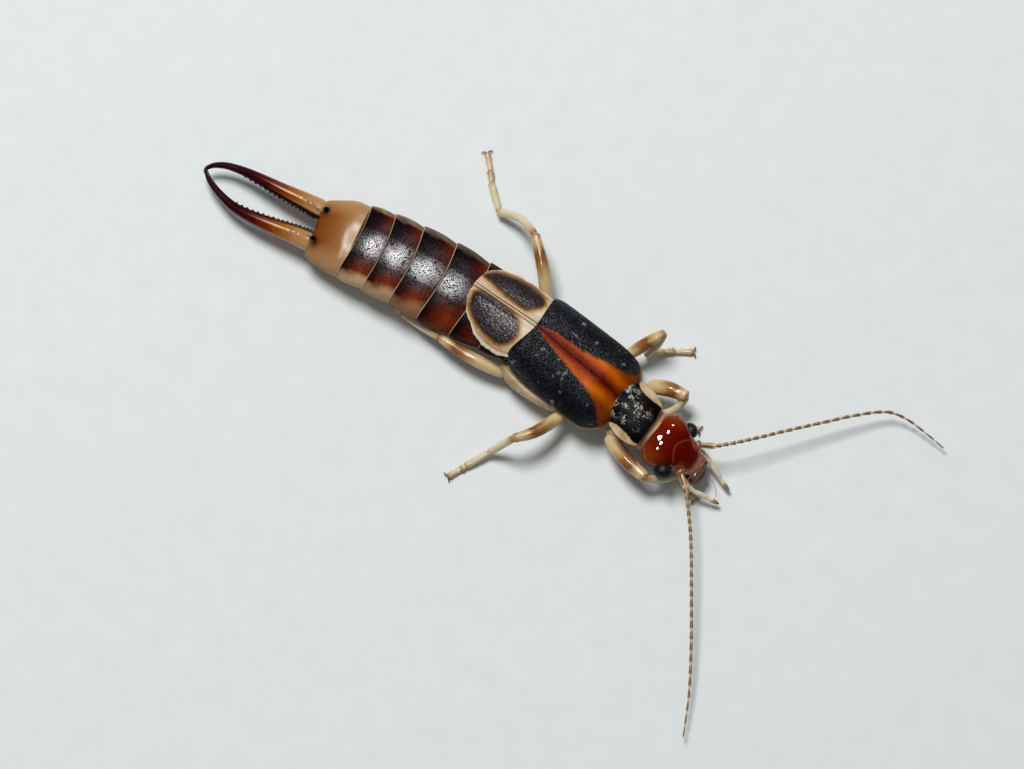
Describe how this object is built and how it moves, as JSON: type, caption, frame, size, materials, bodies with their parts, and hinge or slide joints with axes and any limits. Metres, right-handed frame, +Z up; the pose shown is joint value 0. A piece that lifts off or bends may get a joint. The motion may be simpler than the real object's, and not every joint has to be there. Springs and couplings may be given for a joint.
{
  "type": "earwig model",
  "caption": "Still, life-size earwig standing on its feet, with long feelers spread, short black and orange wing cases, a bare ringed abdomen and closed forceps.",
  "frame": {"origin": "on the floor under the middle of the whole animal, feelers and forceps included", "axes": "+X forward along the body to the head, +Y to the animal's left, +Z up"},
  "size_m": [0.0323, 0.0172, 0.0027],
  "materials": {
    "head_shell": "smooth, glossy red-brown horn",
    "eye": "black, very finely faceted, glossy",
    "wing_case": "black, finely grained, with an orange triangle along the seam",
    "pronotum": "black with cream margins, finely speckled",
    "wing_scale": "dark oval spot with clear amber edges",
    "leg": "cream with a brown band, smooth and half clear",
    "thorax": "pale cream skin and plates",
    "abdomen": "dark chestnut plates, finely pitted, cream along the sides",
    "tail_segment": "caramel, smooth satin",
    "forceps": "orange at the root to dark maroon at the tips, glossy",
    "feeler": "straw brown with pale joints"
  },
  "bodies": {
    "root": {"head": "head_shell", "eye_left": "eye", "eye_right": "eye", "antenna_left": "feeler", "antenna_right": "feeler", "palp_left": "leg", "palp_right": "leg", "pronotum": "pronotum", "prothorax": "thorax", "thorax": "thorax", "tegmen_left": "wing_case", "tegmen_right": "wing_case", "wing_scale_left": "wing_scale", "wing_scale_right": "wing_scale", "abdomen": "abdomen", "last_segment": "tail_segment", "forceps_left": "forceps", "forceps_right": "forceps", "leg_left_front": "leg", "leg_left_middle": "leg", "leg_left_hind": "leg", "leg_right_front": "leg", "leg_right_middle": "leg", "leg_right_hind": "leg"}
  },
  "joints": []
}
